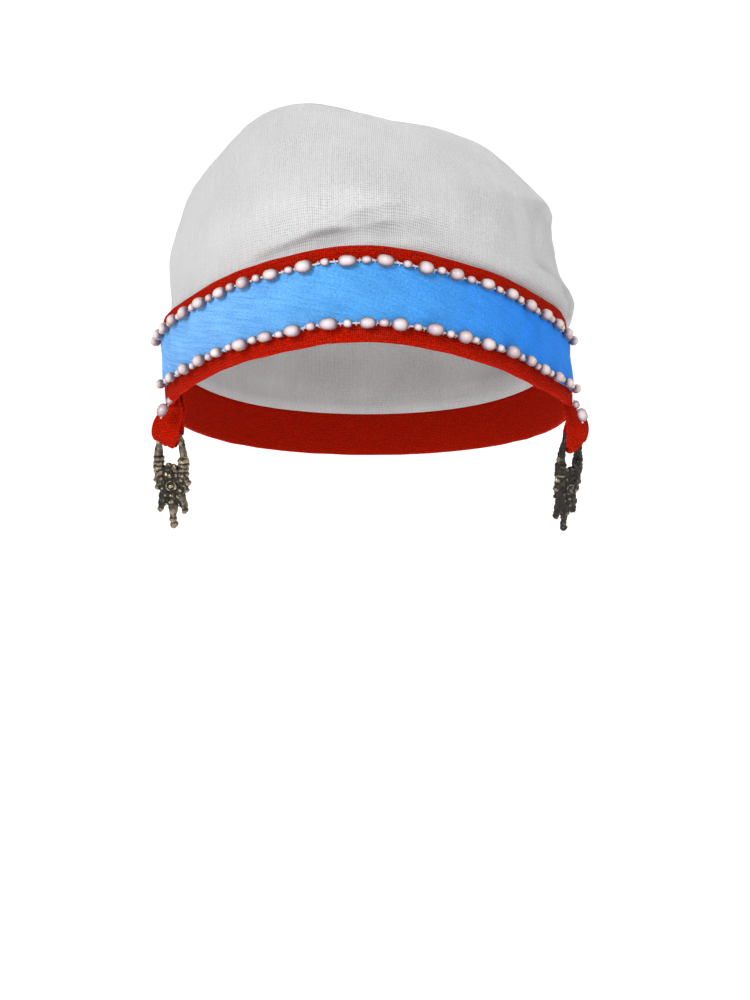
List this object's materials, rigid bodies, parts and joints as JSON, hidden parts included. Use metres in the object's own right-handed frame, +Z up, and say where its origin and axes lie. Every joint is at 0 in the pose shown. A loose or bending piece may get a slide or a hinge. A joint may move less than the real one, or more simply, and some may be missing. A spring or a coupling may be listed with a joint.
{
  "type": "headband with pearl rows, ribbon and temple rings, worn over a gauze cap",
  "caption": "Slack pale gauze cap held by a red cloth headband with a blue ribbon, two rows of rice pearls and a cast temple ring hanging in a cloth loop at each side.",
  "frame": {"origin": "middle of the headband's girth line, inside the head's hollow", "axes": "+Z up as worn, -Y towards the front of the face, +X towards the viewer's right"},
  "size_m": [0.1722, 0.1721, 0.1618],
  "materials": {
    "cap_gauze": "openwork gauze, matt",
    "red_linen": "plain weave, matt",
    "blue_ribbon": "short nap, matt",
    "pearl": "nacre, glossy",
    "aged_bronze": "antiqued, semi-polished on the raised parts"
  },
  "bodies": {
    "headdress": {"cap": "cap_gauze", "headband": "red_linen", "ribbon": "blue_ribbon", "pearl_row_upper": "pearl", "pearl_row_lower": "pearl", "loop_left": "red_linen", "loop_right": "red_linen", "loop_pearls_left": "pearl", "loop_pearls_right": "pearl"},
    "ring_left": {"temple_ring_left": "aged_bronze"},
    "ring_right": {"temple_ring_right": "aged_bronze"}
  },
  "joints": [
    {"name": "temple_ring_left_swing", "type": "hinge", "parent": "headdress", "child": "ring_left", "pos_m": [-0.0764, -0.013, -0.0215], "axis": [0.9889, -0.139, -0.0523], "range_deg": [-15, 15]},
    {"name": "temple_ring_right_swing", "type": "hinge", "parent": "headdress", "child": "ring_right", "pos_m": [0.0804, -0.012, -0.0234], "axis": [0.788, 0.6157, 0], "range_deg": [-15, 15]}
  ]
}
